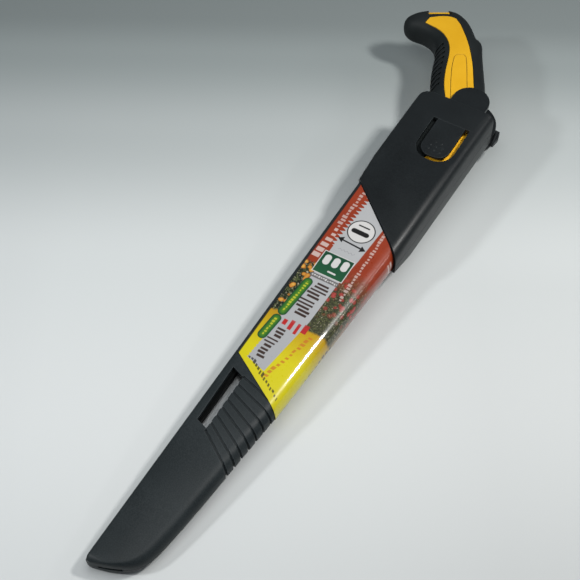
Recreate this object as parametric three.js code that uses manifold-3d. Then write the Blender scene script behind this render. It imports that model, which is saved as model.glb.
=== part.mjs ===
// A straight pruning saw in its belt holster, laid flat.
// Millimetres. +X runs from the holster's closed tip to the handle, +Y is the side of the
// teeth and of the fingers, +Z is the front face. The blade's middle plane is z = 0 while
// the parts are drawn; at the end the group is moved so that its box stands on the origin.
import * as THREE from 'three';
import Module from 'manifold-3d';

const wasm = await Module();
wasm.setup();

// ---------------------------------------------------------------- driving dimensions

const GAP = 0.3;                 // clearance between pieces that touch
const WALL = 2.2;                // moulded wall of the scabbard

const BLADE = { tip: 74, heel: 314, heelWidth: 19, tipWidth: 12.5, thick: 1.2 };
const TEETH = { pitch: 3, height: 2.2, line: 16.6 };

const SCABBARD = { end: 302, teethSide: 20.8 };
const RAIL_EDGE = 13.6;
const WINDOW = { near: 92.5, far: 131, spine: 7.8, teeth: 16 };
const RIBS = { count: 8, width: 1.6, depth: 1.1 };
const LABEL = { near: 141.5, far: 282.3, nearSlant: 0.57, farSlant: 0.86, thick: 0.35 };

const HOLSTER = { mouth: 372, half: 15, teethSide: 22.3, spineSide: -30, slant: 0.86, wall: 2.6 };
const FRONT_EAR = { x: 377, y: -10.5, radius: 12.3 };
const BACK_EAR = { x: 382, y: -7, radius: 21 };
const TAB = { root: 352.5, end: 322, middle: -9, half: 9.6, slot: 3.2, corner: 8, thick: 2 };

const GRIP = { half: 12, head: 318, stations: 46, around: 28 };
const INLAY = { floor: 8.6, seam: 0.45 };
const GROOVES = { count: 9, depth: 1.5 };
const NOTCH = { x: 450.5, y: 50.5, lean: 30, deep: 7, inset: 1.5 };

const BOLTS = [[343, -7], [393, 7]];

const CLIP = { x: 340, y: -4, width: 24, thick: 2.2, gap: 5, top: -18.1, bend: 368, free: 296 };
const LEVER = { x: 370, y: -20, pin: 1.6 };
const RIVETS = [[298, 8], [298, -8]];

// ---------------------------------------------------------------- materials

function plastic(color, roughness = 0.6) {
  return new THREE.MeshStandardMaterial({ color, roughness, metalness: 0 });
}

function metal(color, roughness = 0.35) {
  return new THREE.MeshStandardMaterial({ color, roughness, metalness: 1 });
}

const MATERIALS = {
  scabbard: plastic(0x33383a, 0.62),
  holster: plastic(0x2f3436, 0.65),
  liner: plastic(0x1b1d1e, 0.7),
  rubber: plastic(0x2a2d2e, 0.85),
  yellow: plastic(0xe3b62e, 0.5),
  label: plastic(0xb04a1f, 0.4),
  blade: metal(0xc9c8c0, 0.3),
  zinc: metal(0xb4b6b8, 0.35),
  clip: plastic(0x232627, 0.55),
};

// ---------------------------------------------------------------- solids and cuts

// Makes a closed manifold from triangles, whichever way round they were listed.
function solidFrom(positions, triangles) {
  const keys = new Map();
  const points = [];
  const index = [];
  for (let i = 0; i < positions.length; i += 3) {
    const p = [positions[i], positions[i + 1], positions[i + 2]];
    const key = p.map((v) => v.toFixed(4)).join();
    if (!keys.has(key)) {
      keys.set(key, points.length / 3);
      points.push(...p);
    }
    index.push(keys.get(key));
  }
  const corners = triangles.map((i) => index[i]);
  const tris = [];
  for (let i = 0; i < corners.length; i += 3) {
    const [a, b, c] = corners.slice(i, i + 3);
    if (a !== b && b !== c && c !== a) tris.push(a, b, c);
  }
  const build = (list) => new wasm.Manifold(new wasm.Mesh({
    numProp: 3,
    vertProperties: new Float32Array(points),
    triVerts: new Uint32Array(list),
  }));
  const solid = build(tris);
  if (solid.volume() > 0) return solid;
  return build(tris.reverse());
}

function fromGeometry(geometry) {
  const count = geometry.attributes.position.count;
  const list = geometry.index ? [...geometry.index.array] : [...Array(count).keys()];
  return solidFrom([...geometry.attributes.position.array], list);
}

function toGeometry(solid) {
  const { vertProperties, triVerts } = solid.getMesh();
  const geometry = new THREE.BufferGeometry();
  geometry.setAttribute('position', new THREE.BufferAttribute(vertProperties, 3));
  geometry.setIndex(new THREE.BufferAttribute(triVerts, 1));
  geometry.computeVertexNormals();
  return geometry;
}

function box(x0, x1, y0, y1, z0, z1) {
  const geometry = new THREE.BoxGeometry(x1 - x0, y1 - y0, z1 - z0);
  geometry.translate((x0 + x1) / 2, (y0 + y1) / 2, (z0 + z1) / 2);
  return fromGeometry(geometry);
}

function disc(x, y, radius, z0, z1, segments = 32) {
  const geometry = new THREE.CylinderGeometry(radius, radius, z1 - z0, segments);
  geometry.rotateX(Math.PI / 2);
  geometry.translate(x, y, (z0 + z1) / 2);
  return fromGeometry(geometry);
}

// Extrudes a plan outline from z0 to z1; round is the radius of its long edges.
function slab(points, z0, z1, round = 0) {
  const shape = new THREE.Shape(points.map(([x, y]) => new THREE.Vector2(x, y)));
  const geometry = new THREE.ExtrudeGeometry(shape, {
    depth: z1 - z0 - 2 * round,
    bevelEnabled: round > 0,
    bevelThickness: round,
    bevelSize: round,
    bevelOffset: -round,
    bevelSegments: 4,
  });
  geometry.translate(0, 0, z0 + round);
  return fromGeometry(geometry);
}

// Samples a smooth closed or open curve through the given points.
function smooth(points, closed, samples) {
  const curve = new THREE.CatmullRomCurve3(
    points.map(([x, y]) => new THREE.Vector3(x, y, 0)), closed, 'centripetal');
  const list = curve.getSpacedPoints(samples).map((p) => [p.x, p.y]);
  return closed ? list.slice(0, -1) : list;
}

// Moves a closed outline outwards by a distance (inwards if negative).
function outset(points, distance) {
  const sign = THREE.ShapeUtils.isClockWise(points.map(([x, y]) => ({ x, y }))) ? -1 : 1;
  return points.map(([x, y], i) => {
    const [px, py] = points[(i + points.length - 1) % points.length];
    const [nx, ny] = points[(i + 1) % points.length];
    const a = new THREE.Vector2(x - px, y - py).normalize();
    const b = new THREE.Vector2(nx - x, ny - y).normalize();
    const normal = new THREE.Vector2(a.y + b.y, -a.x - b.x).normalize();
    const stretch = Math.max(0.5, normal.x * a.y - normal.y * a.x);
    const step = sign * distance / stretch;
    return [x + normal.x * step, y + normal.y * step];
  });
}

// Joins rings of points, each with the same count, into a closed solid. The end caps are
// cut into triangles as seen along the axis.
function loft(rings, axis = 'x') {
  const count = rings[0].length;
  const triangles = [];
  for (let r = 0; r + 1 < rings.length; r++) {
    for (let i = 0; i < count; i++) {
      const a = r * count + i;
      const b = r * count + (i + 1) % count;
      triangles.push(a, b, b + count, a, b + count, a + count);
    }
  }
  for (const last of [false, true]) {
    const ring = rings.at(last ? -1 : 0);
    const flat = ring.map(([x, y, z]) => new THREE.Vector2(...(axis === 'x' ? [y, z] : [x, y])));
    const way = Math.sign(THREE.ShapeUtils.area(flat)) * (last ? 1 : -1);
    const offset = last ? (rings.length - 1) * count : 0;
    for (const [a, b, c] of THREE.ShapeUtils.triangulateShape(flat, [])) {
      const turn = Math.sign(THREE.ShapeUtils.area([flat[a], flat[b], flat[c]])) || way;
      const face = turn === way ? [a, b, c] : [a, c, b];
      triangles.push(...face.map((v) => v + offset));
    }
  }
  return solidFrom(rings.flat(2), triangles);
}

// A rounded box section at x: teeth side wall, spine side wall, half height, two radii.
// Its x may lean with y, so that a section is cut slantwise across the holster.
function section({ x, teeth, spine, half, rTeeth, rSpine, slant = 0 }, grow = 0) {
  const corners = [
    [spine - grow, -half - grow, rSpine + grow, Math.PI],
    [teeth + grow, -half - grow, rTeeth + grow, Math.PI * 1.5],
    [teeth + grow, half + grow, rTeeth + grow, 0],
    [spine - grow, half + grow, rSpine + grow, Math.PI * 0.5],
  ];
  const ring = [];
  for (const [y, z, r, start] of corners) {
    const radius = Math.max(r, 0.3);
    const cy = y - Math.sign(y - (teeth + spine) / 2) * radius;
    const cz = z - Math.sign(z) * radius;
    for (let i = 0; i <= 4; i++) {
      const angle = start + (Math.PI / 2) * (i / 4);
      const py = cy + radius * Math.cos(angle);
      ring.push([x + slant * (py - teeth), py, cz + radius * Math.sin(angle)]);
    }
  }
  return ring;
}

const HALF_SPACE = {
  front: box(-20, 520, -120, 120, GAP / 2, 80),
  back: box(-20, 520, -120, 120, -80, -GAP / 2),
};

// ---------------------------------------------------------------- scabbard

const scabbardHalf = (x) => 6.05 + 0.0138 * x;

// The spine side wall in plan, from the slanting, rounded tip to the end in the holster.
const SPINE_WALL = smooth([
  [0.4, 17], [3.6, 7.6], [8.4, -1.2], [13.5, -5.8], [22, -8.6], [36, -10.8], [56, -13],
], false, 20).concat([[120, -18.6], [250, -25.2], [SCABBARD.end, -26.6]]);

const SCABBARD_STATIONS = SPINE_WALL.map(([x, spine]) => ({
  x,
  spine,
  teeth: SCABBARD.teethSide - Math.max(0, 0.5 - x / 6),
  half: scabbardHalf(x) - Math.max(0, 1.8 - 0.6 * x),
  rTeeth: 1.5,
  rSpine: Math.min(7, 1.4 + 0.16 * (SCABBARD.teethSide - spine - 3)),
}));

function scabbardBody(grow = 0, overrun = 0) {
  const rings = SCABBARD_STATIONS.map((s) => section(s, grow));
  const last = SCABBARD_STATIONS.at(-1);
  if (overrun) rings.push(section({ ...last, x: last.x + overrun }, grow));
  return loft(rings);
}

function scabbardCavity() {
  const stations = SCABBARD_STATIONS.filter((s) => s.x > 2.5 && s.x < SCABBARD.end);
  const last = SCABBARD_STATIONS.at(-1);
  const inner = [...stations, { ...last, x: last.x + 5 }].map((s) => section({
    ...s,
    x: s.x + WALL,
    rTeeth: WALL + 0.6,
    rSpine: Math.max(s.rSpine, WALL + 1),
  }, -WALL));
  return loft(inner);
}

// Eight bands fan out from the window over the spine side; these are the grooves between.
function ribGrooves() {
  const cuts = [];
  for (let i = 0; i < RIBS.count; i++) {
    const t = i / (RIBS.count - 1);
    const lean = THREE.MathUtils.lerp(0.24, 0.62, t);
    const start = THREE.MathUtils.lerp(WINDOW.far - 1.5, WINDOW.near - 1, t);
    const across = RIBS.width / 2 * Math.hypot(1, lean);
    const end = WINDOW.spine + 26 + 12;
    cuts.push(slab([
      [start - across, WINDOW.spine], [start - across - lean * end, WINDOW.spine - end],
      [start + across - lean * end, WINDOW.spine - end], [start + across, WINDOW.spine],
    ], -20, 20));
  }
  return wasm.Manifold.union(cuts).subtract(scabbardBody(-RIBS.depth));
}

function windowCut() {
  return slab([
    [WINDOW.near, WINDOW.spine], [WINDOW.far - 1.6, WINDOW.spine],
    [WINDOW.far + 1.2, WINDOW.teeth], [WINDOW.near + 2.2, WINDOW.teeth - 0.8],
  ], 0.5, 20);
}

function drainCut() {
  return slab([[-2, 14], [14, 14], [14, 2], [3, 2]], -1.2, 1.2);
}

function scabbardShells() {
  const shell = scabbardBody().subtract(scabbardCavity()).subtract(drainCut())
    .subtract(ribGrooves());
  return {
    front: shell.intersect(HALF_SPACE.front).subtract(windowCut()),
    back: shell.intersect(HALF_SPACE.back).subtract(rivetHoles()),
  };
}

// Two rails hold the teeth side of the blade and keep the teeth off the wall.
function guideRail(side) {
  const from = 40;
  const to = 298;
  const ring = (x) => {
    const top = scabbardHalf(x) - WALL - GAP;
    const wall = SCABBARD.teethSide - WALL - GAP - 0.9;
    return [[x, RAIL_EDGE, 1.1], [x, wall, 1.1], [x, wall, top], [x, RAIL_EDGE, top]]
      .map(([px, y, z]) => [px, y, z * side]);
  };
  return loft([ring(from), ring(to)]);
}

function tipBuffer() {
  return box(44, 64, -5, 13, -3.2, 3.2);
}

// A thin printed sleeve over the front, the spine side and the back, cut slantwise.
function labelSleeve() {
  const skin = scabbardBody(GAP / 2 + LABEL.thick).subtract(scabbardBody(GAP / 2));
  const edge = SCABBARD.teethSide - 2.2;
  const drop = 60;
  return skin.intersect(slab([
    [LABEL.near, edge], [LABEL.near - LABEL.nearSlant * drop, edge - drop],
    [LABEL.far - LABEL.farSlant * drop, edge - drop], [LABEL.far, edge],
  ], -20, 20));
}

// ---------------------------------------------------------------- holster

const HOLSTER_STATIONS = [
  { x: 286, slant: HOLSTER.slant, teeth: 22, spine: -27.2, half: 11.2, rTeeth: 2.4, rSpine: 7 },
  { x: 306, slant: HOLSTER.slant, teeth: 22.3, spine: -28, half: 14.6, rTeeth: 3, rSpine: 6 },
  { x: 336, slant: 0.3, teeth: 22.3, spine: -29, half: 15, rTeeth: 3, rSpine: 6 },
  { x: 372, slant: 0, teeth: 22.3, spine: -30, half: 15, rTeeth: 3, rSpine: 6 },
];

// The scabbard plugs into the lower end; the saw's handle fills the rest.
function holsterCavity() {
  const plug = scabbardBody(GAP, 1);
  const neck = loft([SCABBARD.end + 1, HOLSTER.mouth + 40].map((x) => section({
    x,
    teeth: HOLSTER.teethSide - HOLSTER.wall,
    spine: THREE.MathUtils.lerp(-25.6, -27.4, (x - 303) / 69),
    half: HOLSTER.half - HOLSTER.wall,
    rTeeth: 1.5,
    rSpine: 3,
  })));
  return plug.add(neck);
}

// The mouth's teeth side corner is rounded off in plan.
function mouthCorner() {
  const radius = 9;
  const cx = HOLSTER.mouth - radius;
  const cy = HOLSTER.teethSide - radius;
  const points = [[HOLSTER.mouth + 60, cy], [HOLSTER.mouth, cy]];
  for (let i = 1; i <= 5; i++) {
    const angle = (Math.PI / 2) * (i / 5);
    points.push([cx + radius * Math.cos(angle), cy + radius * Math.sin(angle)]);
  }
  points.push([cx, cy + radius + 20], [HOLSTER.mouth + 60, cy + radius + 20]);
  return slab(points, -20, 20);
}

function ear({ x, y, radius }, z0, z1) {
  return disc(x, y, radius, z0, z1, 48).add(box(x - 24, x, y - radius, y + radius, z0, z1));
}

// Plan of the release tab, or of the slot round it when grown.
function tabOutline(grow, root) {
  const half = TAB.half + grow;
  const end = TAB.end - grow;
  const radius = TAB.corner + grow;
  const points = [[root, TAB.middle - half]];
  for (const side of [-1, 1]) {
    for (let i = 0; i <= 6; i++) {
      const turn = (Math.PI / 2) * (side < 0 ? i / 6 : 1 - i / 6);
      points.push([end + radius - radius * Math.sin(turn),
        TAB.middle + side * (half - radius + radius * Math.cos(turn))]);
    }
  }
  points.push([root, TAB.middle + half]);
  return points.reverse();
}

// Depth of the dish round the tab: nothing at its root, most at its free end.
const dishDepth = (x) => Math.max(0, 0.9 * (TAB.root - x) / (TAB.root - TAB.end));

// A shallow dish round the slot makes the tab easy to find with a thumb.
function tabDish() {
  const outer = tabOutline(8.5, TAB.root);
  const inner = tabOutline(3.4, TAB.root);
  const at = (outline, z) => outline.map(([x, y]) => [x, y, z(x)]);
  const top = HOLSTER.half;
  return loft([
    at(outer, () => top + 0.4), at(outer, () => top), at(inner, (x) => top - dishDepth(x) - 0.01),
  ], 'z');
}

function holsterShells() {
  const top = HOLSTER.half;
  const inner = HOLSTER.half - HOLSTER.wall;
  const body = loft(HOLSTER_STATIONS.map((s) => section(s)));
  const shell = body.subtract(mouthCorner())
    .add(ear(FRONT_EAR, inner, top - 0.2))
    .add(ear(BACK_EAR, -top + 0.2, -inner))
    .subtract(holsterCavity());
  const slot = slab(tabOutline(TAB.slot, TAB.root), inner - 1, top + 5);
  return {
    front: shell.intersect(HALF_SPACE.front).subtract(slot).subtract(tabDish()),
    back: shell.intersect(HALF_SPACE.back).subtract(rivetHoles())
      .subtract(disc(CLIP.x, CLIP.y, 3 + GAP, -20, -5, 24))
      .subtract(disc(LEVER.x, LEVER.y, LEVER.pin + GAP, -20, -5, 16)),
  };
}

// The tab hangs from its root between the arms of the slot, with eight grip dots.
function releaseTab() {
  const under = HOLSTER.half - HOLSTER.wall + 0.1;
  const top = HOLSTER.half;
  const half = TAB.half + 1;
  const roof = (x) => [[TAB.middle - half, 20], [TAB.middle + half, 20],
    [TAB.middle + half, top - dishDepth(x)], [TAB.middle - half, top - dishDepth(x)]]
    .map(([y, z]) => [x, y, z]);
  let tab = slab(tabOutline(0, TAB.root - 0.08), under, top)
    .subtract(loft([roof(TAB.end - 5), roof(TAB.root)]));
  for (const [row, count] of [[0, 2], [1, 3], [2, 3]]) {
    for (let i = 0; i < count; i++) {
      const x = TAB.end + 12 - row * 3.4;
      const y = TAB.middle + (i - (count - 1) / 2) * 4;
      tab = tab.add(disc(x, y, 0.75, under + 1, top - dishDepth(x) + 0.35, 10));
    }
  }
  const foot = under + 0.5;
  return tab.add(box(TAB.end + 2.5, TAB.end + 5, TAB.middle - 5, TAB.middle + 5, 10.4, foot));
}

// ---------------------------------------------------------------- blade

function bladeSolid() {
  const { tip, heel, heelWidth, tipWidth, thick } = BLADE;
  const count = Math.floor((heel - tip - 8) / TEETH.pitch);
  const points = [];
  for (let i = 0; i < count; i++) {
    const x = tip + 4 + i * TEETH.pitch;
    points.push([x, TEETH.line - TEETH.height], [x + TEETH.pitch * 0.42, TEETH.line]);
  }
  const last = tip + 4 + count * TEETH.pitch;
  points.push([last, TEETH.line - TEETH.height], [heel, TEETH.line - TEETH.height]);
  points.push(...TANG_TEETH_SIDE, ...TANG_BACK_SIDE);
  points.push([heel, TEETH.line - heelWidth], [tip + 9, TEETH.line - tipWidth], [tip, TEETH.line - 5]);
  const holes = BOLTS.map(([x, y]) => disc(x, y, 2.5 + GAP, -2, 2, 20));
  return slab(points, -thick / 2, thick / 2).subtract(wasm.Manifold.union(holes));
}

const TANG_TEETH_SIDE = [[322, 12.5], [348, 9], [372, 11], [398, 17], [414, 22]];
const TANG_BACK_SIDE = [[419, 11], [398, 1], [372, -10], [348, -15], [326, -12]];

// ---------------------------------------------------------------- handle

// The two sides of the handle in plan, point against point, from its head in the holster
// to the tip of the hook, with the half thickness and squareness of the section there.
const FINGER_SIDE = [
  [318, 16.3], [345, 16.4], [364, 16.6], [378, 19], [393, 26], [404.5, 30.4], [413.5, 33.3],
  [420.2, 36.8], [424.8, 40.8], [427.2, 45], [428.4, 50], [428.4, 54.6], [427.8, 58.4],
  [428, 62], [429.8, 65.4], [432.4, 67.4], [434.6, 68.2],
];
const PALM_SIDE = [
  [318, -23.5], [345, -25], [362, -25.2], [380, -21], [401, -10.9], [418, -1.5], [431, 5.6],
  [437.8, 9.2], [439.2, 13], [447.6, 20.8], [454.6, 28.8], [457.6, 36.6], [456.4, 44.4],
  [452, 52], [446.8, 58.6], [441.6, 63.6], [437.4, 67.4],
];
const THICKNESS = [
  [9.5, 6], [9.5, 6], [12, 4], [12, 3.2], [12, 3], [12, 3], [12, 3], [12, 3], [12, 2.9],
  [12, 2.8], [12, 2.7], [12, 2.6], [11.8, 2.5], [11.2, 2.4], [10, 2.3], [7.4, 2.2], [3.6, 2],
];

const INLAY_OUTLINE = [
  ...smooth([[433.8, 51.6], [432.4, 42.8], [428.4, 34], [421.4, 27], [412, 22.4], [399, 18.2],
    [386, 13], [375, 6.6]], false, 18),
  [364, 0], [364, -18.5],
  ...smooth([[380, -12.4], [396, -3.6], [412, 5], [424, 13], [434, 21], [442.6, 29]], false, 14),
  ...smooth([[446.4, 34.4], [446, 39], [442, 46], [438.4, 50.6]], false, 6),
];

// The core is hidden in the rubber but for its end, which shows in a notch of the hook.
const CORE_OUTLINE = [
  [456.3, 60.4], [447.6, 55.4],
  ...smooth([[440, 53.4], [433, 53.2], [431.2, 43.4], [427.4, 35], [420.8, 28], [412, 23.4],
    [399, 19.2], [386, 14], [375, 7.4], [360, -1.2], [350, -4.6]], false, 26),
  [GRIP.head - 4, -5], [GRIP.head - 4, -26], [352, -26],
  ...smooth([[364, -20.2], [380, -12.4], [396, -3.6], [412, 5], [424, 13], [434, 21],
    [442.6, 28.6], [448.4, 37.4], [454.2, 44.1]], false, 22),
  [462.9, 49.1],
];
const TONGUE_OUTLINE = [
  [362, -1], ...smooth([[376, 3.2], [390, 10], [403, 15.6], [411.4, 18.2]], false, 6),
  [414.4, 17.8], [416.4, 13.6], [415, 11.4],
  ...smooth([[408, 7.4], [394, 0.4], [380, -6.6], [366, -12]], false, 6), [362, -13],
];

// The handle as one smooth solid, before it is divided into core, inlays and rubber.
function gripBlank(grow = 0) {
  const curve = (list) => new THREE.CatmullRomCurve3(
    list.map(([x, y]) => new THREE.Vector3(x, y, 0)), false, 'centripetal');
  const [finger, palm, shape] = [FINGER_SIDE, PALM_SIDE, THICKNESS].map(curve);
  const rings = [];
  for (let s = 0; s <= GRIP.stations; s++) {
    const a = finger.getPoint(s / GRIP.stations);
    const b = palm.getPoint(s / GRIP.stations);
    const { x: half, y: square } = shape.getPoint(s / GRIP.stations);
    const middle = a.clone().add(b).divideScalar(2);
    const side = a.clone().sub(b);
    const reach = side.length() / 2 + grow;
    side.normalize();
    const ring = [];
    for (let i = 0; i < GRIP.around; i++) {
      const angle = (Math.PI * 2 * i) / GRIP.around;
      const soft = (v) => Math.sign(v) * Math.abs(v) ** (2 / square);
      const out = reach * soft(Math.cos(angle));
      ring.push([middle.x + side.x * out, middle.y + side.y * out,
        (half + grow) * soft(Math.sin(angle))]);
    }
    rings.push(ring);
  }
  return loft(rings);
}

function tangPocket() {
  const outline = [[GRIP.head - 6, 14.8], ...TANG_TEETH_SIDE, ...TANG_BACK_SIDE,
    [GRIP.head - 6, -3]];
  return slab(outset(outline, 0.4), -BLADE.thick / 2 - GAP, BLADE.thick / 2 + GAP);
}

// Slanting grooves let the fingers grip the rubber.
function fingerGrooves() {
  const cuts = [];
  for (let i = 0; i < GROOVES.count; i++) {
    const x = 380 + i * 4.3;
    const y = 20 + i * 1.9;
    cuts.push(slab([[x - 8.8, y + 5.8], [x - 9.8, y + 4], [x + 9.2, y - 6.8], [x + 10.2, y - 5]],
      -20, 20));
  }
  return wasm.Manifold.union(cuts)
    .subtract(gripBlank(-GROOVES.depth))
    .subtract(slab(outset(INLAY_OUTLINE, 3.2), -20, 20));
}

function boltHoles() {
  return wasm.Manifold.union(BOLTS.map(([x, y]) => disc(x, y, 2.5 + GAP, -8.5, 8.5, 20)
    .add(disc(x, y, 4.6 + GAP, 4.7, 9.6, 24))
    .add(disc(x, y, 4.6 + GAP, -9.6, -4.7, 6))));
}

// The notch in the end of the hook, cut this deep from the outside.
function notch(deep) {
  return box(-deep, 20, -14, 14, -20, 20).rotate([0, 0, NOTCH.lean])
    .translate([NOTCH.x, NOTCH.y, 0]);
}

function handleParts() {
  const blank = gripBlank();
  const hollow = tangPocket().add(boltHoles());
  const floor = INLAY.floor;
  const head = box(0, 364, -90, 90, -20, 20);
  const core = gripBlank(-0.8).add(blank.intersect(head)).intersect(slab(CORE_OUTLINE, -20, 20))
    .subtract(hollow).subtract(notch(NOTCH.inset));
  const inlay = blank.intersect(slab(INLAY_OUTLINE, floor, 20));
  const plate = inlay.subtract(slab(outset(TONGUE_OUTLINE, 0.35), floor - 1, 20));
  const insert = inlay.intersect(slab(TONGUE_OUTLINE, floor, 20));
  // The rubber is one moulding: it wraps the core, frames both inlays and leaves the notch.
  const wide = outset(CORE_OUTLINE, INLAY.seam);
  const cavity = gripBlank(GAP - 0.8).intersect(slab(wide, -floor, floor))
    .add(slab(wide, -20, 20).intersect(head.add(notch(NOTCH.deep))));
  const frame = slab(outset(INLAY_OUTLINE, INLAY.seam), floor - 0.01, 20);
  const mirror = (solid) => solid.mirror([0, 0, 1]);
  const rubber = blank.subtract(cavity).subtract(frame).subtract(mirror(frame))
    .subtract(hollow).subtract(fingerGrooves());
  return {
    coreFront: core.intersect(box(0, 520, -90, 90, GAP / 2, floor - GAP)),
    coreBack: core.intersect(box(0, 520, -90, 90, -floor + GAP, -GAP / 2)),
    inlayFront: plate,
    inlayBack: mirror(plate),
    tongueFront: insert,
    tongueBack: mirror(insert),
    rubber,
  };
}

// ---------------------------------------------------------------- belt clip

function clipBase() {
  return disc(CLIP.x, CLIP.y, 14, -17.3, -15.3, 40)
    .subtract(disc(CLIP.x, CLIP.y, 3 + GAP, -20, -14, 24));
}

// A strip folded into a J: pinned above, bent round at the mouth end, open to the tip.
function beltClip() {
  const { x, y, width, thick, gap, top, bend, free } = CLIP;
  const outer = thick + gap / 2;
  const cz = top - outer;
  const profile = [[x - 16, top], [bend, top]];
  for (let i = 1; i < 10; i++) {
    const angle = Math.PI / 2 - Math.PI * (i / 10);
    profile.push([bend + outer * Math.cos(angle), cz + outer * Math.sin(angle)]);
  }
  profile.push([bend, cz - outer], [free + 9, cz - outer], [free, cz - outer + 0.001 - 0.6]);
  profile.push([free, cz - gap / 2 - 1], [free + 9, cz - gap / 2], [bend, cz - gap / 2]);
  for (let i = 9; i > 0; i--) {
    const angle = Math.PI / 2 - Math.PI * (i / 10);
    profile.push([bend + gap / 2 * Math.cos(angle), cz + gap / 2 * Math.sin(angle)]);
  }
  profile.push([bend, cz + gap / 2], [x - 16, cz + gap / 2]);
  const shape = new THREE.Shape(profile.map(([px, pz]) => new THREE.Vector2(px, pz)));
  const geometry = new THREE.ExtrudeGeometry(shape, { depth: width, bevelEnabled: false });
  geometry.rotateX(Math.PI / 2);
  geometry.translate(0, y + width / 2, 0);
  return fromGeometry(geometry)
    .subtract(disc(x, y, 3 + GAP, top - thick - 1, top + 1, 24))
    .subtract(disc(x, y, 6 + GAP, top - thick - 1, top - thick + 1.2, 24));
}

function clipWasher() {
  return disc(CLIP.x, CLIP.y, 8, -17.9, -17.5, 32)
    .subtract(disc(CLIP.x, CLIP.y, 3 + GAP, -20, -15, 24));
}

function clipPivot() {
  const seat = CLIP.top - CLIP.thick;
  return disc(CLIP.x, CLIP.y, 3, seat + 0.5, -12.7, 24)
    .add(disc(CLIP.x, CLIP.y, 6, seat, seat + 0.9, 24))
    .subtract(box(CLIP.x - 4, CLIP.x + 4, CLIP.y - 0.5, CLIP.y + 0.5, seat - 1, seat + 0.6));
}

// A thumb lever at the holster's side locks the clip's swivel.
function clipLever() {
  const foot = slab([[LEVER.x - 5, -17], [LEVER.x + 5, -17], [389.2, -26.3], [388.7, -30.2],
    [382.4, -32], [371, -29], [366.5, -26.5]], -16.9, -15.3);
  const lug = slab([[374, -30.4], [386.2, -28.6], [386, -31], [380, -32.5], [374, -31.7]],
    -15.4, -13);
  const innerRidge = slab([[374.6, -30.6], [385.8, -28.9], [385.7, -29.6], [374.6, -31.2]],
    -13.1, -12.2);
  const outerRidge = slab([[375, -31.75], [375, -31.5], [380, -31.7], [385.8, -30.3],
    [385.9, -30.95], [380, -32.4]], -13.1, -12.2);
  return foot.add(lug).add(innerRidge).add(outerRidge)
    .subtract(disc(LEVER.x, LEVER.y, LEVER.pin + GAP, -20, -10, 16));
}

function leverPin() {
  return disc(LEVER.x, LEVER.y, LEVER.pin, -17.3, -12.8, 16)
    .add(disc(LEVER.x, LEVER.y, LEVER.pin + 1.2, -18, -17.2, 20));
}

// ---------------------------------------------------------------- fasteners

// Rivets join the holster's back to the scabbard's back, sunk below the surface.
function rivet([x, y]) {
  return disc(x, y, 3, -14.4, -13.2, 24).add(disc(x, y, 1.5, -13.3, -8.6, 16));
}

function rivetHoles() {
  return wasm.Manifold.union(RIVETS.map(([x, y]) => disc(x, y, 1.5 + GAP, -20, -5, 16)
    .add(disc(x, y, 3 + GAP, -20, -12.9, 24))));
}

function bolt(x, y) {
  return disc(x, y, 2.5, -7.4, 5.1, 20).add(disc(x, y, 4.6, 5, 8.3, 24))
    .subtract(disc(x, y, 2, 6.5, 10, 6));
}

function nut(x, y) {
  return disc(x, y, 4.6, -8.3, -5, 6).subtract(disc(x, y, 2.5 + GAP, -10, -5, 20));
}

// ---------------------------------------------------------------- assembly

const saw = new THREE.Group();
saw.name = 'pruning_saw';

function add(name, solid, material) {
  const mesh = new THREE.Mesh(toGeometry(solid), MATERIALS[material]);
  mesh.name = name;
  saw.add(mesh);
}

const scabbard = scabbardShells();
add('scabbard_front', scabbard.front, 'scabbard');
add('scabbard_back', scabbard.back, 'scabbard');
add('guide_rail_front', guideRail(1), 'liner');
add('guide_rail_back', guideRail(-1), 'liner');
add('tip_buffer', tipBuffer(), 'liner');
add('label_sleeve', labelSleeve(), 'label');

const holster = holsterShells();
add('holster_front', holster.front, 'holster');
add('holster_back', holster.back, 'holster');
add('release_tab', releaseTab(), 'holster');

RIVETS.forEach((place, i) => add(`rivet_${i + 1}`, rivet(place), 'zinc'));

add('clip_base', clipBase(), 'clip');
add('clip_washer', clipWasher(), 'zinc');
add('belt_clip', beltClip(), 'clip');
add('clip_pivot', clipPivot(), 'zinc');
add('clip_lever', clipLever(), 'clip');
add('lever_pin', leverPin(), 'zinc');

add('blade', bladeSolid(), 'blade');
const handle = handleParts();
add('core_front', handle.coreFront, 'yellow');
add('core_back', handle.coreBack, 'yellow');
add('inlay_front', handle.inlayFront, 'yellow');
add('inlay_back', handle.inlayBack, 'yellow');
add('tongue_front', handle.tongueFront, 'yellow');
add('tongue_back', handle.tongueBack, 'yellow');
add('grip_rubber', handle.rubber, 'rubber');
BOLTS.forEach(([x, y], i) => {
  add(`tang_bolt_${i + 1}`, bolt(x, y), 'zinc');
  add(`tang_nut_${i + 1}`, nut(x, y), 'zinc');
});

const bounds = new THREE.Box3().setFromObject(saw);
const centre = bounds.getCenter(new THREE.Vector3());
saw.position.set(-centre.x, -centre.y, -bounds.min.z);

export default saw;
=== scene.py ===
"""Looks of a straight pruning saw lying in its belt holster.

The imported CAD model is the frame. Every visible piece is a CAD node with a procedural
material; positions are in "drawing" millimetres (x from the scabbard's closed tip, y = 0 at
the middle of the label, z = 0 in the blade's middle plane), turned into metres by place().
"""
import math

import bpy
from mathutils import Matrix, Vector


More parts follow.
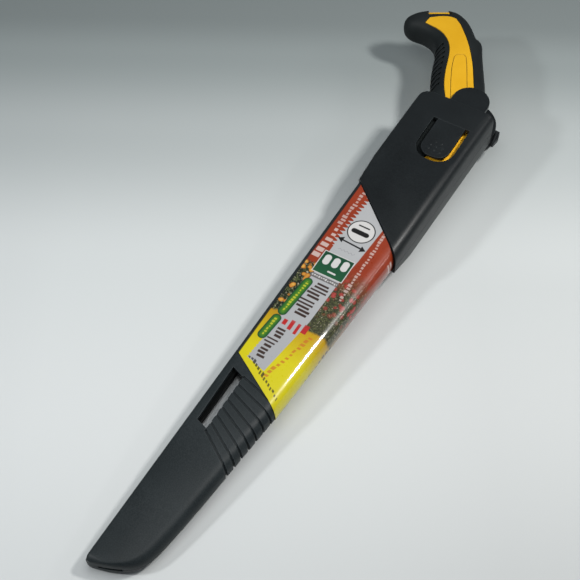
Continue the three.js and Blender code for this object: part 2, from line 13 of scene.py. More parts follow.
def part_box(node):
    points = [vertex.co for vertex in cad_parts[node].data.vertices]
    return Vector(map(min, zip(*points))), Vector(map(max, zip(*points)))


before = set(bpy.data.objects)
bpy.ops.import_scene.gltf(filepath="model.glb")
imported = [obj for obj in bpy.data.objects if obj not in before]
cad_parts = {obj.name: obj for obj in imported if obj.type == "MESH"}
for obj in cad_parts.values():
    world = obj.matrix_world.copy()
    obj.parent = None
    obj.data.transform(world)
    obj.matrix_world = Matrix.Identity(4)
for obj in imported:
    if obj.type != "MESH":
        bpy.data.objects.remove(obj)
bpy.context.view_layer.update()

# ------------------------------------------------------------------ the drawing's frame

BLADE_TIP_X = 74.0
TEETH_WALL_Y = 20.8
ORIGIN = Vector((
    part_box("blade")[0].x - BLADE_TIP_X / 1000,
    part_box("scabbard_front")[1].y - TEETH_WALL_Y / 1000,
    (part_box("blade")[0].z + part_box("blade")[1].z) / 2,
))


def place(x, y, z):
    """A point of the drawing, in metres in the row frame."""
    return ORIGIN + Vector((x, y, z)) / 1000


# ------------------------------------------------------------------ small node language

class Val:
    """A number in a node tree, with Python's operators."""

    def __init__(self, tree, socket):
        self.tree, self.socket = tree, socket

    def op(self, name, *others):
        node = self.tree.nodes.new("ShaderNodeMath")
        node.operation = name
        for i, value in enumerate((self, *others)):
            if isinstance(value, Val):
                self.tree.links.new(value.socket, node.inputs[i])
            else:
                node.inputs[i].default_value = value
        return Val(self.tree, node.outputs[0])

    def __add__(self, other): return self.op("ADD", other)
    def __sub__(self, other): return self.op("SUBTRACT", other)
    def __mul__(self, other): return self.op("MULTIPLY", other)
    def __neg__(self): return self.op("MULTIPLY", -1.0)
    def __radd__(self, other): return self.op("ADD", other)
    def __rmul__(self, other): return self.op("MULTIPLY", other)
    def __rsub__(self, other): return (-self).op("ADD", other)
    def abs(self): return self.op("ABSOLUTE")

    def clamp(self):
        """Held between 0 and 1."""
        node = self.tree.nodes.new("ShaderNodeClamp")
        self.tree.links.new(self.socket, node.inputs[0])
        return Val(self.tree, node.outputs[0])

    def floor(self): return self.op("FLOOR")
    def max(self, other): return self.op("MAXIMUM", other)
    def min(self, other): return self.op("MINIMUM", other)

    def step(self, edge, soft):
        """0 below edge, 1 above it, with a short even slope between."""
        return ((self - (edge - soft)) * (0.5 / soft)).clamp()

    def ramp(self, lo, hi):
        """0 at lo and 1 at hi."""
        return ((self - lo) * (1.0 / (hi - lo))).clamp()

    def inside(self, lo, hi, soft):
        return self.step(lo, soft) * (1.0 - self.step(hi, soft))


class Paint:
    """One material and the nodes that its look is made of."""

    def __init__(self, name):
        self.material = bpy.data.materials.new(name)
        self.material.use_nodes = True
        self.tree = self.material.node_tree
        self.shader = self.tree.nodes["Principled BSDF"]
        coords = self.tree.nodes.new("ShaderNodeTexCoord")
        shift = self.tree.nodes.new("ShaderNodeVectorMath")
        shift.operation = "SUBTRACT"
        shift.inputs[1].default_value = ORIGIN
        scale = self.tree.nodes.new("ShaderNodeVectorMath")
        scale.operation = "SCALE"
        scale.inputs["Scale"].default_value = 1000.0
        self.link(coords.outputs["Object"], shift.inputs[0])
        self.link(shift.outputs[0], scale.inputs[0])
        self.mm = scale.outputs[0]
        split = self.tree.nodes.new("ShaderNodeSeparateXYZ")
        self.link(self.mm, split.inputs[0])
        self.x, self.y, self.z = (Val(self.tree, split.outputs[i]) for i in range(3))

    def link(self, a, b):
        self.tree.links.new(a, b)

    def vector(self, x, y, z):
        node = self.tree.nodes.new("ShaderNodeCombineXYZ")
        for i, value in enumerate((x, y, z)):
            if isinstance(value, Val):
                self.link(value.socket, node.inputs[i])
            else:
                node.inputs[i].default_value = value
        return node.outputs[0]

    def noise(self, per_mm, detail=3.0, rough=0.55, at=None):
        node = self.tree.nodes.new("ShaderNodeTexNoise")
        node.inputs["Scale"].default_value = per_mm
        node.inputs["Detail"].default_value = detail
        node.inputs["Roughness"].default_value = rough
        self.link(self.mm if at is None else at, node.inputs["Vector"])
        return Val(self.tree, node.outputs[0])

    def spots(self, per_mm, at):
        """Distance to the nearest of many scattered points."""
        node = self.tree.nodes.new("ShaderNodeTexVoronoi")
        node.inputs["Scale"].default_value = per_mm
        self.link(at, node.inputs["Vector"])
        return Val(self.tree, node.outputs["Distance"])

    def speck(self, cell):
        """An even random number for each whole number."""
        node = self.tree.nodes.new("ShaderNodeTexWhiteNoise")
        node.noise_dimensions = "1D"
        self.link(cell.socket, node.inputs["W"])
        return Val(self.tree, node.outputs["Value"])

    def mix(self, factor, a, b):
        node = self.tree.nodes.new("ShaderNodeMix")
        node.data_type = "RGBA"
        node.clamp_factor = True
        if isinstance(factor, Val):
            self.link(factor.socket, node.inputs[0])
        else:
            node.inputs[0].default_value = factor
        for value, socket in ((a, node.inputs[6]), (b, node.inputs[7])):
            if isinstance(value, tuple):
                socket.default_value = (*value, 1.0)
            else:
                self.link(value, socket)
        return node.outputs[2]

    def edges(self, radius_mm):
        """1 on edges sharper than the radius, 0 on plain faces."""
        bevel = self.tree.nodes.new("ShaderNodeBevel")
        bevel.samples = 4
        bevel.inputs["Radius"].default_value = radius_mm / 1000
        geometry = self.tree.nodes.new("ShaderNodeNewGeometry")
        dot = self.tree.nodes.new("ShaderNodeVectorMath")
        dot.operation = "DOT_PRODUCT"
        self.link(bevel.outputs[0], dot.inputs[0])
        self.link(geometry.outputs["Normal"], dot.inputs[1])
        return 1.0 - Val(self.tree, dot.outputs["Value"])

    def colour(self, socket):
        self.link(socket, self.shader.inputs["Base Color"])

    def rough(self, value):
        self.link(value.socket, self.shader.inputs["Roughness"])

    def bump(self, height, distance_mm, strength=1.0, round_mm=0.0):
        node = self.tree.nodes.new("ShaderNodeBump")
        node.inputs["Strength"].default_value = strength
        node.inputs["Distance"].default_value = distance_mm / 1000
        self.link(height.socket, node.inputs["Height"])
        if round_mm:
            bevel = self.tree.nodes.new("ShaderNodeBevel")
            bevel.samples = 6
            bevel.inputs["Radius"].default_value = round_mm / 1000
            self.link(bevel.outputs[0], node.inputs["Normal"])
        self.link(node.outputs[0], self.shader.inputs["Normal"])

    def set(self, **values):
        for name, value in values.items():
            self.shader.inputs[name.replace("_", " ")].default_value = value


def srgb(r, g, b):
    """A colour given as 0 to 255 screen values, as linear light."""
    def one(c):
        c /= 255
        return c / 12.92 if c <= 0.04045 else ((c + 0.055) / 1.055) ** 2.4
    return (one(r), one(g), one(b))


# ------------------------------------------------------------------ plain materials

def moulded_plastic(name, dark, light, wear_and_highlight, rough, grain=1.6, seed=0.0):
    """Matt moulded plastic with a fine spark-eroded grain, faint rubs and pale edges that are
    partly wear and partly a painted highlight along crests.
    """
    paint = Paint(name)
    at = paint.vector(paint.x + seed, paint.y, paint.z)
    cloud = paint.noise(0.035, 4.0, 0.6, at)
    fine = paint.noise(grain, 2.0, 0.6, at)
    rub = paint.noise(0.9, 5.0, 0.7, paint.vector(paint.x * 0.06, paint.y + seed, paint.z))
    edge = paint.edges(0.9)
    base = paint.mix(cloud.ramp(0.3, 0.7), dark, light)
    base = paint.mix(fine.ramp(0.35, 0.75) * 0.22, base, wear_and_highlight)
    base = paint.mix(rub.ramp(0.62, 0.8) * 0.12, base, wear_and_highlight)
    # Pale edges: partly edge wear, partly a painted highlight along crests and ribs.
    base = paint.mix(edge.ramp(0.02, 0.3) * 0.6 * cloud.ramp(0.2, 0.6), base, wear_and_highlight)
    paint.colour(base)
    paint.rough(rough + (cloud - 0.5) * 0.18 + (fine - 0.5) * 0.12 - rub.ramp(0.6, 0.8) * 0.08)
    paint.bump(fine + rub * 0.3, 0.05, 0.55, 0.45)
    return paint


def rubber_paint():
    paint = Paint("grip_rubber_paint")
    cloud = paint.noise(0.05, 4.0, 0.6)
    fine = paint.noise(2.4, 3.0, 0.65)
    edge = paint.edges(0.8)
    base = paint.mix(cloud.ramp(0.3, 0.7), srgb(17, 21, 22), srgb(25, 30, 31))
    base = paint.mix(fine.ramp(0.45, 0.8) * 0.3, base, srgb(42, 47, 48))
    base = paint.mix(edge.ramp(0.03, 0.3) * 0.3, base, srgb(60, 64, 66))
    paint.colour(base)
    paint.set(Specular_IOR_Level=0.22)
    paint.rough(0.58 + (cloud - 0.5) * 0.2 + (fine - 0.5) * 0.15)
    paint.bump(fine, 0.06, 0.6, 0.5)
    return paint


def yellow_paint():
    paint = Paint("yellow_plastic_paint")
    cloud = paint.noise(0.045, 4.0, 0.6)
    fine = paint.noise(1.9, 2.0, 0.6)
    streak = paint.noise(0.7, 4.0, 0.7, paint.vector(paint.x * 0.1, paint.y * 0.5, paint.z))
    base = paint.mix(cloud.ramp(0.3, 0.7), srgb(208, 156, 22), srgb(216, 165, 30))
    base = paint.mix(streak.ramp(0.6, 0.8) * 0.18, base, srgb(196, 142, 26))
    # Painted light: the yellow inside the holster, seen through its slot, is made brighter.
    base = paint.mix(1.0 - paint.x.ramp(356.0, 366.0), base, srgb(255, 190, 40))
    base = paint.mix(paint.edges(0.7).ramp(0.03, 0.3) * 0.3, base, srgb(226, 190, 84))
    paint.set(Specular_IOR_Level=0.35)
    paint.colour(base)
    paint.rough(0.4 + (cloud - 0.5) * 0.16 + (fine - 0.5) * 0.12)
    paint.bump(fine, 0.03, 0.35, 0.35)
    return paint


def metal_paint(name, dark, light, rough, along_x=True):
    paint = Paint(name)
    if along_x:
        at = paint.vector(paint.x * 0.04, paint.y, paint.z)
    else:
        at = paint.mm
    grain = paint.noise(3.0, 4.0, 0.7, at)
    cloud = paint.noise(0.08, 4.0, 0.6)
    base = paint.mix(grain.ramp(0.3, 0.7), dark, light)
    base = paint.mix(cloud.ramp(0.55, 0.8) * 0.2, base, srgb(150, 146, 140))
    paint.colour(base)
    paint.rough(rough + (grain - 0.5) * 0.25 + (cloud - 0.5) * 0.1)
    paint.bump(grain, 0.02, 0.35, 0.15)
    paint.set(Metallic=1.0)
    return paint


# ------------------------------------------------------------------ the printed label

INK = {
    "rust": srgb(174, 66, 32),
    "gold": srgb(214, 160, 22),
    "yellow": srgb(246, 232, 16),
    "paper": srgb(205, 206, 208),
    "green": srgb(16, 78, 52),
    "lime": srgb(96, 160, 40),
    "pill": srgb(20, 96, 44),
    "black": srgb(28, 26, 26),
    "brown": srgb(70, 52, 46),
    "grey": srgb(140, 138, 140),
    "white": srgb(240, 238, 236),
}
SOFT = 0.16              # blur of a printed edge, mm
SLEEVE_TOP = 7.0         # height of the sleeve's front at x = 0, mm
SLEEVE_RISE = 0.0138     # its rise toward the mouth, mm per mm
SLEEVE_FLAT = 1.2        # depth below the front at which the print starts down the side
PRINTED_PITCH = 3.0      # between the long printed teeth, mm
PRINTED_TOOTH = 3.1      # their length, mm
FRUIT_WARP, LEAF_WARP = 1.5, 4.0    # how far noise pushes the spots of the two patches, mm
LABEL_SHADE = 0.4        # how far the whole print is darkened


def box_mask(u, v, u0, u1, v0, v1, soft=SOFT):
    return u.inside(u0, u1, soft) * v.inside(v0, v1, soft)


def line_at(x, points):
    """y along straight lines through points, as a number made from x."""
    out = None
    for (xa, ya), (xb, yb) in zip(points, points[1:]):
        part = (x.max(xa).min(xb) - xa) * ((yb - ya) / (xb - xa))
        out = part if out is None else out + part
    return out + points[0][1]


def capsule(x, y, a, b):
    """Distance in mm from the segment a-b."""
    ax, ay = a
    dx, dy = b[0] - ax, b[1] - ay
    along = (((x - ax) * dx + (y - ay) * dy) * (1 / (dx * dx + dy * dy))).clamp()
    return ((x - ax - along * dx).op("POWER", 2.0)
            + (y - ay - along * dy).op("POWER", 2.0)).op("SQRT")


def word_row(paint, along, across, start, end, middle, height, pitch, salt):
    """A row of small upright bars of uneven width: it stands for a line of print."""
    cell = (along * (1 / pitch)).floor()
    inside = along * (1 / pitch) - cell
    chance = paint.speck(cell + salt)
    width = 0.22 + chance * 0.2
    bar = 1.0 - ((inside - 0.5).abs() - width).step(0.0, SOFT / pitch)
    luck = paint.speck(cell + salt + 57.0)
    tall = 0.2 + luck * 0.28
    drift = (chance - 0.5) * (height * 0.3)
    rise = 1.0 - ((across - middle - drift).abs() - tall * height).step(0.0, SOFT)
    return bar * rise * along.inside(start, end, SOFT)


def block(paint, x, y, x0, x1, y0, y1, bars, salt=0.0):
    """A block of parallel bars of uneven length, as large print looks from afar."""
    along = (x - x0) * ((bars - 0.4) / (x1 - x0))
    cell = along.floor()
    luck = paint.speck(cell + salt + x0)
    blur = SOFT * bars / (x1 - x0)
    stripe = 1.0 - ((along - cell - 0.35).abs() - luck * 0.16 - 0.2).step(0.0, blur)
    half = (y1 - y0) * (0.5 - luck * 0.2)
    drift = (paint.speck(cell + salt + x0 + 31.0) - 0.5) * ((y1 - y0) * 0.24)
    wide = 1.0 - ((y - (y0 + y1) / 2 - drift).abs() - half).step(0.0, SOFT)
    return stripe * wide * x.inside(x0 - 0.1, x1, SOFT)


def label_paint():
    paint = Paint("printed_label_paint")
    x = paint.x
    # y is unrolled round the spine edge, so that the print runs on down the side.
    fall = (SLEEVE_TOP + x * SLEEVE_RISE - paint.z - SLEEVE_FLAT).max(0.0)
    y = paint.y - fall
    front = paint.z.step(0.0, 0.3)

    # Ground colours: rust at the mouth, yellow toward the tip.
    gold = paint.mix(x.ramp(150, 176), INK["yellow"], INK["gold"])
    rusty = paint.mix(paint.noise(0.06).ramp(0.3, 0.7), INK["rust"], srgb(162, 58, 28))
    left = paint.mix(x.step(196, 0.4), gold, rusty)
    right = paint.mix(x.ramp(176, 196), gold, rusty)
    ground = paint.mix(y.step(1.0, 0.5), right, left)

    # Two patches of fruit and leaves.
    warp = paint.noise(0.3, 3.0)
    near = paint.spots(0.24, paint.vector(x + warp * FRUIT_WARP, y + warp * FRUIT_WARP, 0.0))
    tiny = paint.spots(1.0, paint.vector(x + warp * LEAF_WARP, y + warp * LEAF_WARP, 0.0))
    leaves = paint.mix(tiny.ramp(0.15, 0.6), srgb(112, 122, 72), srgb(24, 34, 18))
    leaves = paint.mix(paint.noise(0.5, 4.0).ramp(0.52, 0.6) * 0.8, leaves, srgb(28, 38, 22))
    leaves = paint.mix(paint.noise(0.9, 4.0).ramp(0.58, 0.68), leaves, srgb(206, 196, 168))
    fruit = 1.0 - near.step(0.4, 0.04)
    fruit_top = paint.mix(near.ramp(0.1, 0.4), srgb(252, 198, 96), srgb(216, 126, 20))
    berry = paint.mix(near.ramp(0.0, 0.4), srgb(236, 96, 96), srgb(168, 52, 44))
    left_patch = paint.mix(fruit, leaves, fruit_top)
    bush = paint.mix(0.35, leaves, srgb(96, 92, 62))
    right_patch = paint.mix(fruit * x.ramp(183, 196) * 0.75, bush, berry)
    edge = paint.noise(0.18, 4.0) * 6.0
    in_left = (x + edge).inside(179.5, 219.5, 0.8) * y.inside(8.0, 22.0, 0.2)
    in_right = (x + edge).step(176.5, 0.8) * (1.0 - (x + edge).ramp(207, 226))
    in_right = in_right * (1.0 - y.step(-4.0, 0.2)) * (1.0 - (-y).ramp(27, 36) * 0.8)
    art = paint.mix(in_left, ground, left_patch)
    art = paint.mix(in_right, art, right_patch)

    # The pale saw shape with its long teeth.
    right_edge = line_at(x, [(137.5, -0.3), (178.8, -5.9), (211.4, -6.9), (229.3, -9.1),
                             (257.2, -10.7), (300, -12.5)])
    left_edge = line_at(x, [(140, 12.6), (156, 11.5), (204, 9.9), (232, 9.6), (285, 6.4)])
    saw_tooth = 1.0 - ((x * (1 / PRINTED_PITCH)).op("FRACT") - 0.5).abs() * 2.0
    saw_tooth = saw_tooth.op("POWER", 1.7) * PRINTED_TOOTH
    teeth = saw_tooth * x.step(233, 0.2)
    small = (1.0 - ((x * (1 / 2.2)).op("FRACT") - 0.5).abs() * 2.0) * 1.6 - 0.9
    teeth = teeth + small.max(0.0) * x.inside(141, 153, 0.3)
    tip = line_at(x, [(133, -20), (141.5, 12.5), (150, 30)])
    pale = (y - right_edge).step(0.0, SOFT) * (1.0 - (y - left_edge - teeth).step(0.0, SOFT))
    pale = pale * (1.0 - (y - tip).step(0.0, SOFT))
    paper = paint.mix(x.ramp(140, 250), srgb(198, 199, 202), INK["paper"])
    art = paint.mix(pale * front, art, paper)

    # A round badge and a double arrow for the blade's depth.
    badge = ((x - 250).op("POWER", 2.0) + y.op("POWER", 2.0)).op("SQRT")
    art = paint.mix(1.0 - badge.step(8.5, SOFT), art, INK["white"])
    art = paint.mix(badge.inside(8.0, 8.7, SOFT), art, INK["black"])
    bars = 1.0 - capsule(x, y, (249.0, -4.0), (249.0, 4.4)).step(1.7, SOFT)
    bars = bars.max(1.0 - capsule(x, y, (254.0, -3.4), (254.0, 3.4)).step(0.5, SOFT))
    art = paint.mix(bars, art, INK["black"])
    arrow = 1.0 - capsule(x, y, (239.4, 8.6), (238.5, -7.8)).step(0.55, SOFT)
    for sign, tip_y, cx in ((1, 10.2, 239.5), (-1, -9.3, 238.4)):
        back = (tip_y - y) * sign
        head = (1.0 - ((x - cx).abs() - back * 0.66).step(0.0, SOFT)) * back.inside(0, 3.6, SOFT)
        arrow = arrow.max(head)
    art = paint.mix(arrow, art, INK["black"])
    peaks = ((y * (1 / 2.4)).op("FRACT") - 0.5).abs() * 2.4
    sketch = (x - 232.0 - peaks).abs()
    art = paint.mix((1.0 - sketch.step(0.16, 0.12)) * y.inside(-5, 6, 0.2) * 0.7, art,
                    INK["grey"])

    # The dark green panel with three pale capsules and a thin bar, and a grey strip under it.
    slant = x + y * 0.02
    art = paint.mix(box_mask(slant, y, 211.0, 228.0, -8.4, 12.0), art, INK["white"])
    deep = paint.mix(x.ramp(212, 228), srgb(34, 98, 62), INK["green"])
    art = paint.mix(box_mask(slant, y, 211.5, 227.5, -7.9, 11.5), art, deep)
    shapes = None
    for k, centre in enumerate((7.6, 1.7, -4.3)):
        shape = capsule(x, y, (220.2 + k * 0.3, centre), (223.6 + k * 0.3, centre))
        shape = 1.0 - shape.step(2.1, SOFT)
        shapes = shape if shapes is None else shapes.max(shape)
    shapes = shapes.max(1.0 - capsule(x, y, (214.6, -1.8), (214.6, 2.6)).step(0.6, SOFT))
    art = paint.mix(shapes, art, INK["white"])
    art = paint.mix(box_mask(slant, y, 207.2, 210.2, -7.4, 11.0), art, srgb(122, 118, 118))
    art = paint.mix(word_row(paint, y, x, -6.6, 10.4, 208.7, 1.6, 1.5, 5.0), art, INK["white"])

    # Large dark blocks, red bars and smaller dark blocks down the pale shape.
    dark = block(paint, x, y, 193.5, 205.0, -4.6, 6.8, 5, 2.0)
    dark = dark.max(block(paint, x, y, 179.8, 191.5, -3.8, 7.6, 5, 6.0))
    for x0, middle in ((160.5, 5.6), (152.4, 6.6), (144.6, 6.8)):
        dark = dark.max(block(paint, x, y, x0, x0 + 6.6, middle - 3.6, middle + 3.6, 3))
    art = paint.mix(dark, art, INK["brown"])
    red = word_row(paint, y, x, -8.4, 9.4, 172.2, 8.0, 4.3, 21.0)
    art = paint.mix(red * (1.0 - x.ramp(173.0, 177.5) * 0.3), art, srgb(208, 44, 44))

    # Two green capsules.
    for a, b, salt in (((202.4, 9.3), (177.6, 11.4), 1.0), ((171.6, 12.0), (158.4, 13.2), 9.0)):
        far = capsule(x, y, a, b)
        art = paint.mix(1.0 - far.step(2.9, SOFT), art, INK["green"])
        inner = paint.mix(far.ramp(0.0, 2.6), INK["lime"], INK["pill"])
        art = paint.mix(1.0 - far.step(2.45, SOFT), art, inner)
        row = word_row(paint, x, y - (a[1] + b[1]) / 2 + (x - (a[0] + b[0]) / 2) * 0.085,
                       b[0], a[0], 0.0, 1.9, 2.0, salt)
        art = paint.mix(row * 0.8, art, srgb(232, 226, 60))

    # Rows of pale bars on the rust bands, orange ones on the yellow band.
    wave = y - line_at(x, [(215, 15.2), (285, 12.6)])
    rows = word_row(paint, x, wave, 246.0, 281.0, 0.4, 3.4, 2.7, 41.0) * 0.75
    rows = rows.max(word_row(paint, x, wave, 220.5, 245.0, 0.0, 5.4, 4.4, 43.0))
    rows = rows.max(word_row(paint, x, y, 200.0, 262.0, -13.6, 2.6, 2.4, 47.0) * 0.8)
    for k in range(2):
        rows = rows.max(block(paint, x, y, 238.0 + k * 7, 242.5 + k * 7, -36, -27, 2) * 0.9)
    art = paint.mix(rows * 0.85, art, srgb(238, 214, 206))
    warm = word_row(paint, x, y - line_at(x, [(132, 1.0), (170, -9.8)]), 134.0, 170.0, -2.4, 3.0,
                    3.0, 61.0)
    art = paint.mix(warm * 0.75, art, srgb(228, 120, 40))

    # Dark bars along the slanting lower edge and down the side.
    lean = x - 127.6 - y * 0.57
    across = lean - 8.6
    art = paint.mix(word_row(paint, y, across, -16.0, 17.0, 0.0, 3.4, 2.1, 71.0)
                    * (1.0 - x.step(142.5, 0.2)) * 0.85, art, INK["black"])
    art = paint.mix(word_row(paint, x, y, 118.0, 176.0, -30.5, 4.2, 3.6, 81.0), art,
                    INK["black"])

    # The back is plain but for a few rows.
    behind = paint.mix(x.ramp(165, 200), INK["yellow"], rusty)
    for k, middle in enumerate((12, 6, 0, -6)):
        behind = paint.mix(word_row(paint, x, paint.y, 150.0, 250.0 - k * 14, middle, 3.0, 2.6,
                                    91.0 + k), behind, INK["white"])
    art = paint.mix((-paint.z).step(3.0, 0.3), art, behind)
    # A black line along the teeth-side edge where the film ends, darkened as painted shade of that
    # edge; and a worn fold.
    art = paint.mix(paint.y.step(18.15, 0.12) * 0.85, art, INK["black"])
    scuff = paint.noise(1.1, 5.0, 0.75, paint.vector(x * 0.12, paint.y, paint.z))
    art = paint.mix(scuff.ramp(0.66, 0.82) * 0.22, art, srgb(225, 222, 218))
    paint.colour(paint.mix(LABEL_SHADE, art, srgb(0, 0, 0)))
    waves = paint.noise(0.05, 2.0, 0.4)
    fine = paint.noise(0.5, 3.0)
    paint.rough(0.3 + (fine - 0.5) * 0.16 + scuff.ramp(0.6, 0.8) * 0.15)
    paint.bump(waves * 6.0 + fine * 0.2, 0.08, 0.5)
    paint.set(Specular_IOR_Level=0.3, Coat_Weight=0.9, Coat_Roughness=0.04)
    return paint


# ------------------------------------------------------------------ smooth shading

def soft_shading(angle_deg):
    """A modifier that joins split corners and smooths all but the sharp edges."""
    group = bpy.data.node_groups.new(f"soft_shading_{angle_deg}", "GeometryNodeTree")
    group.interface.new_socket("Geometry", in_out="INPUT", socket_type="NodeSocketGeometry")
    group.interface.new_socket("Geometry", in_out="OUTPUT", socket_type="NodeSocketGeometry")
    new, link = group.nodes.new, group.links.new
    start, end = new("NodeGroupInput"), new("NodeGroupOutput")
    drop = new("GeometryNodeRemoveAttribute")
    drop.inputs["Name"].default_value = "custom_normal"
    merge = new("GeometryNodeMergeByDistance")
    merge.inputs["Distance"].default_value = 2e-6
    faces = new("GeometryNodeSetShadeSmooth")
    faces.inputs["Shade Smooth"].default_value = True
    edges = new("GeometryNodeSetShadeSmooth")
    edges.domain = "EDGE"
    edges.inputs["Shade Smooth"].default_value = False
    angle = new("GeometryNodeInputMeshEdgeAngle")
    compare = new("FunctionNodeCompare")
    compare.data_type = "FLOAT"
    compare.operation = "GREATER_THAN"
    compare.inputs["B"].default_value = math.radians(angle_deg)
    link(start.outputs[0], drop.inputs["Geometry"])
    link(drop.outputs["Geometry"], merge.inputs["Geometry"])
    link(merge.outputs["Geometry"], faces.inputs["Geometry"])
    link(faces.outputs["Geometry"], edges.inputs["Geometry"])
    link(angle.outputs["Unsigned Angle"], compare.inputs["A"])
    link(compare.outputs["Result"], edges.inputs["Selection"])
    link(edges.outputs["Geometry"], end.inputs[0])
    return group


# ------------------------------------------------------------------ dress the CAD nodes

SCABBARD = moulded_plastic("scabbard_plastic_paint", srgb(22, 28, 30), srgb(30, 36, 38),
                           srgb(70, 76, 79), 0.44)
HOLSTER = moulded_plastic("holster_plastic_paint", srgb(12, 15, 17), srgb(19, 23, 25),
                          srgb(52, 58, 60), 0.4, 1.8, 300.0)
# Painted shade: the liner's near-black colour makes the sheath's inside read as deep shade.
LINER = moulded_plastic("liner_painted_shade_paint", srgb(4, 5, 5), srgb(7, 8, 8),
                        srgb(16, 17, 18), 0.7, 1.6, 600.0)
CLIP = moulded_plastic("clip_nylon_paint", srgb(22, 25, 27), srgb(30, 34, 36),
                       srgb(74, 78, 80), 0.42, 2.2, 900.0)
SCABBARD.set(Specular_IOR_Level=0.2)
HOLSTER.set(Specular_IOR_Level=0.3)
LINER.set(Specular_IOR_Level=0.05)
CLIP.set(Specular_IOR_Level=0.3)
RUBBER = rubber_paint()
YELLOW = yellow_paint()
STEEL = metal_paint("saw_steel_paint", srgb(150, 152, 153), srgb(184, 186, 187), 0.34)
ZINC = metal_paint("zinc_paint", srgb(150, 152, 154), srgb(190, 192, 194), 0.35, False)
LABEL = label_paint()

PAINT_OF = {
    "scabbard_front": SCABBARD, "scabbard_back": SCABBARD,
    "guide_rail_front": LINER, "guide_rail_back": LINER, "tip_buffer": LINER,
    "label_sleeve": LABEL,
    "holster_front": HOLSTER, "holster_back": HOLSTER, "release_tab": HOLSTER,
    "rivet_1": ZINC, "rivet_2": ZINC,
    "clip_base": CLIP, "belt_clip": CLIP, "clip_lever": CLIP,
    "clip_washer": ZINC, "clip_pivot": ZINC, "lever_pin": ZINC,
    "blade": STEEL,
    "core_front": YELLOW, "core_back": YELLOW,
    "inlay_front": YELLOW, "inlay_back": YELLOW,
    "tongue_front": YELLOW, "tongue_back": YELLOW,
    "grip_rubber": RUBBER,
    "tang_bolt_1": ZINC, "tang_bolt_2": ZINC, "tang_nut_1": ZINC, "tang_nut_2": ZINC,
}
SHADING = soft_shading(32)
for name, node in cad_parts.items():
    node.data.materials.clear()
    node.data.materials.append(PAINT_OF[name].material)
    modifier = node.modifiers.new("soft_shading", "NODES")
    modifier.node_group = SHADING


# ------------------------------------------------------------------ floor, camera, lights

# The holster lies on its clip and on its tip, so the floor leans a little against the part.
FLOOR_TIP = (5.0, 0.0, -6.5)
FLOOR_CLIP = (296.0, 0.0, -28.3)
FLOOR_REACH = 4000.0             # half the floor's side, mm
# Painted fall-off of light: the floor's colour follows these tones away from the camera, darkest
# far off.
FLOOR_FADE = (-180.0, 460.0)     # where the tones below begin and end, away from the camera, mm
FLOOR_TONES = (                  # place along the fade, screen value, how much less red
    (0.0, 195, 3), (0.2, 206, 3), (0.45, 215, 3), (0.62, 213, 4), (0.8, 185, 6),
    (0.93, 158, 8), (1.0, 141, 8),
)


def floor_paint(up):
    """Pale paper; its colour carries part of the photograph's fall-off away from the camera."""
    paint = Paint("floor_paint")
    far = paint.x * up[0] + paint.y * up[1]
    ramp = paint.tree.nodes.new("ShaderNodeValToRGB")
    ramp.color_ramp.interpolation = "EASE"
    while len(ramp.color_ramp.elements) < len(FLOOR_TONES):
        ramp.color_ramp.elements.new(0.5)
    for element, (at, value, cool) in zip(ramp.color_ramp.elements, FLOOR_TONES):
        element.position = at
        element.color = (*srgb(value - cool, value, value), 1.0)
    paint.link(far.ramp(*FLOOR_FADE).socket, ramp.inputs[0])
    # Painted shade: darker toward the side where the key lamp's pool of light falls, less so far
    # from the camera.
    side = paint.x * up[1] - paint.y * up[0]
    shade = side.ramp(-60.0, 200.0) * (0.19 - far.ramp(200.0, 320.0) * 0.13)
    fine = paint.noise(0.8, 4.0, 0.7)
    paper = paint.mix(fine.ramp(0.3, 0.7) * 0.02, ramp.outputs[0], srgb(180, 180, 180))
    paint.colour(paint.mix(shade, paper, srgb(0, 0, 0)))
    paint.shader.inputs["Roughness"].default_value = 0.8
    return paint


def make_floor(up):
    a, b = Vector(FLOOR_TIP), Vector(FLOOR_CLIP)
    slope = (b.z - a.z) / (b.x - a.x)
    corners = [(i * FLOOR_REACH, j * FLOOR_REACH) for i, j in ((-1, -1), (1, -1), (1, 1), (-1, 1))]
    mesh = bpy.data.meshes.new("floor")
    points = [place(x, y, a.z + slope * (x - a.x)) for x, y in corners]
    mesh.from_pydata([tuple(p) for p in points], [], [(0, 1, 2, 3)])
    mesh.materials.append(floor_paint(up).material)
    floor = bpy.data.objects.new("floor", mesh)
    bpy.context.scene.collection.objects.link(floor)


CAMERA_AT = (-114.03, -185.94, 538.64)
CAMERA_RIGHT = Vector((0.5205, -0.8535, -0.0235))
CAMERA_UP = Vector((0.7092, 0.4168, 0.5685))
LENS = 68.28                     # mm, on a sensor 36 mm wide
SENSOR = 36.0
WORLD_STRENGTH = 0.175


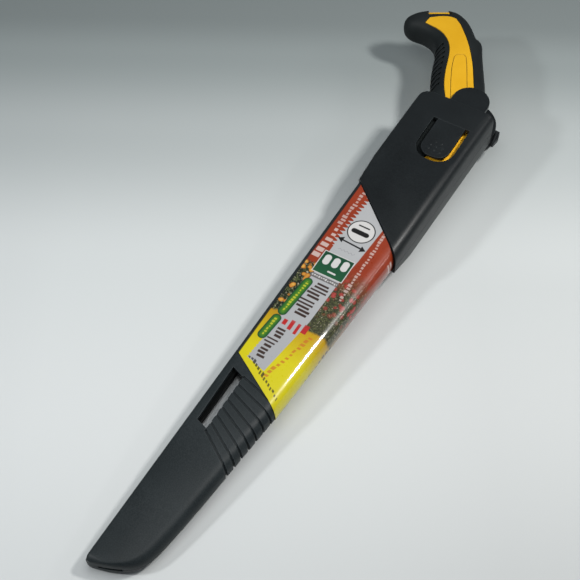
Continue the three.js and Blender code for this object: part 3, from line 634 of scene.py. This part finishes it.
def make_camera():
    right = CAMERA_RIGHT.normalized()
    back = right.cross(CAMERA_UP).normalized()
    up = back.cross(right)
    data = bpy.data.cameras.new("camera")
    data.lens = LENS
    data.sensor_width = SENSOR
    data.clip_start, data.clip_end = 0.01, 100.0
    camera = bpy.data.objects.new("camera", data)
    turn = Matrix((right, up, back)).transposed()
    camera.matrix_world = Matrix.Translation(place(*CAMERA_AT)) @ turn.to_4x4()
    bpy.context.scene.collection.objects.link(camera)
    bpy.context.scene.camera = camera


def area_light(name, at, aim, size, power, colour):
    """A rectangular lamp at one point of the drawing, facing another."""
    data = bpy.data.lights.new(name, "AREA")
    data.shape = "RECTANGLE"
    data.size, data.size_y = size
    data.energy = power
    data.color = colour
    light = bpy.data.objects.new(name, data)
    light.location = place(*at)
    back = (place(*at) - place(*aim)).normalized()
    along = (Vector((1, 0, 0)) - back * back.x).normalized()
    light.rotation_mode = "QUATERNION"
    turn = Matrix((along, back.cross(along), back)).transposed()
    light.rotation_quaternion = turn.to_quaternion()
    bpy.context.scene.collection.objects.link(light)


def make_world(strength):
    world = bpy.data.worlds.new("studio")
    world.use_nodes = True
    sky = world.node_tree.nodes["Background"]
    sky.inputs["Color"].default_value = (0.86, 0.93, 1.0, 1.0)
    sky.inputs["Strength"].default_value = strength
    bpy.context.scene.world = world


# Name, place, aim, size in metres, watts and colour. Fitted by comparing renders with the photo.
LAMPS = (
    ("key", (386, -271, 498), (400, 20, 0), (0.07, 0.07), 2.4, (1.0, 0.985, 0.96)),
    ("near", (110, -30, 480), (110, -30, 0), (0.3, 0.3), 0.95, (0.98, 1.0, 1.0)),
    ("left", (-341, 517, 756), (400, 20, 0), (0.1, 0.1), 3.6, (0.97, 0.99, 1.0)),
    ("glint", (735, -550, 429), (290, -16, 8), (0.46, 0.015), 0.6, (1.0, 1.0, 1.0)),
)

make_camera()
flat_up = Vector((CAMERA_UP.x, CAMERA_UP.y)).normalized()
make_floor(flat_up)
make_world(WORLD_STRENGTH)
for lamp in LAMPS:
    area_light(*lamp)
bpy.context.scene.view_settings.view_transform = "Standard"
bpy.context.scene.view_settings.look = "None"
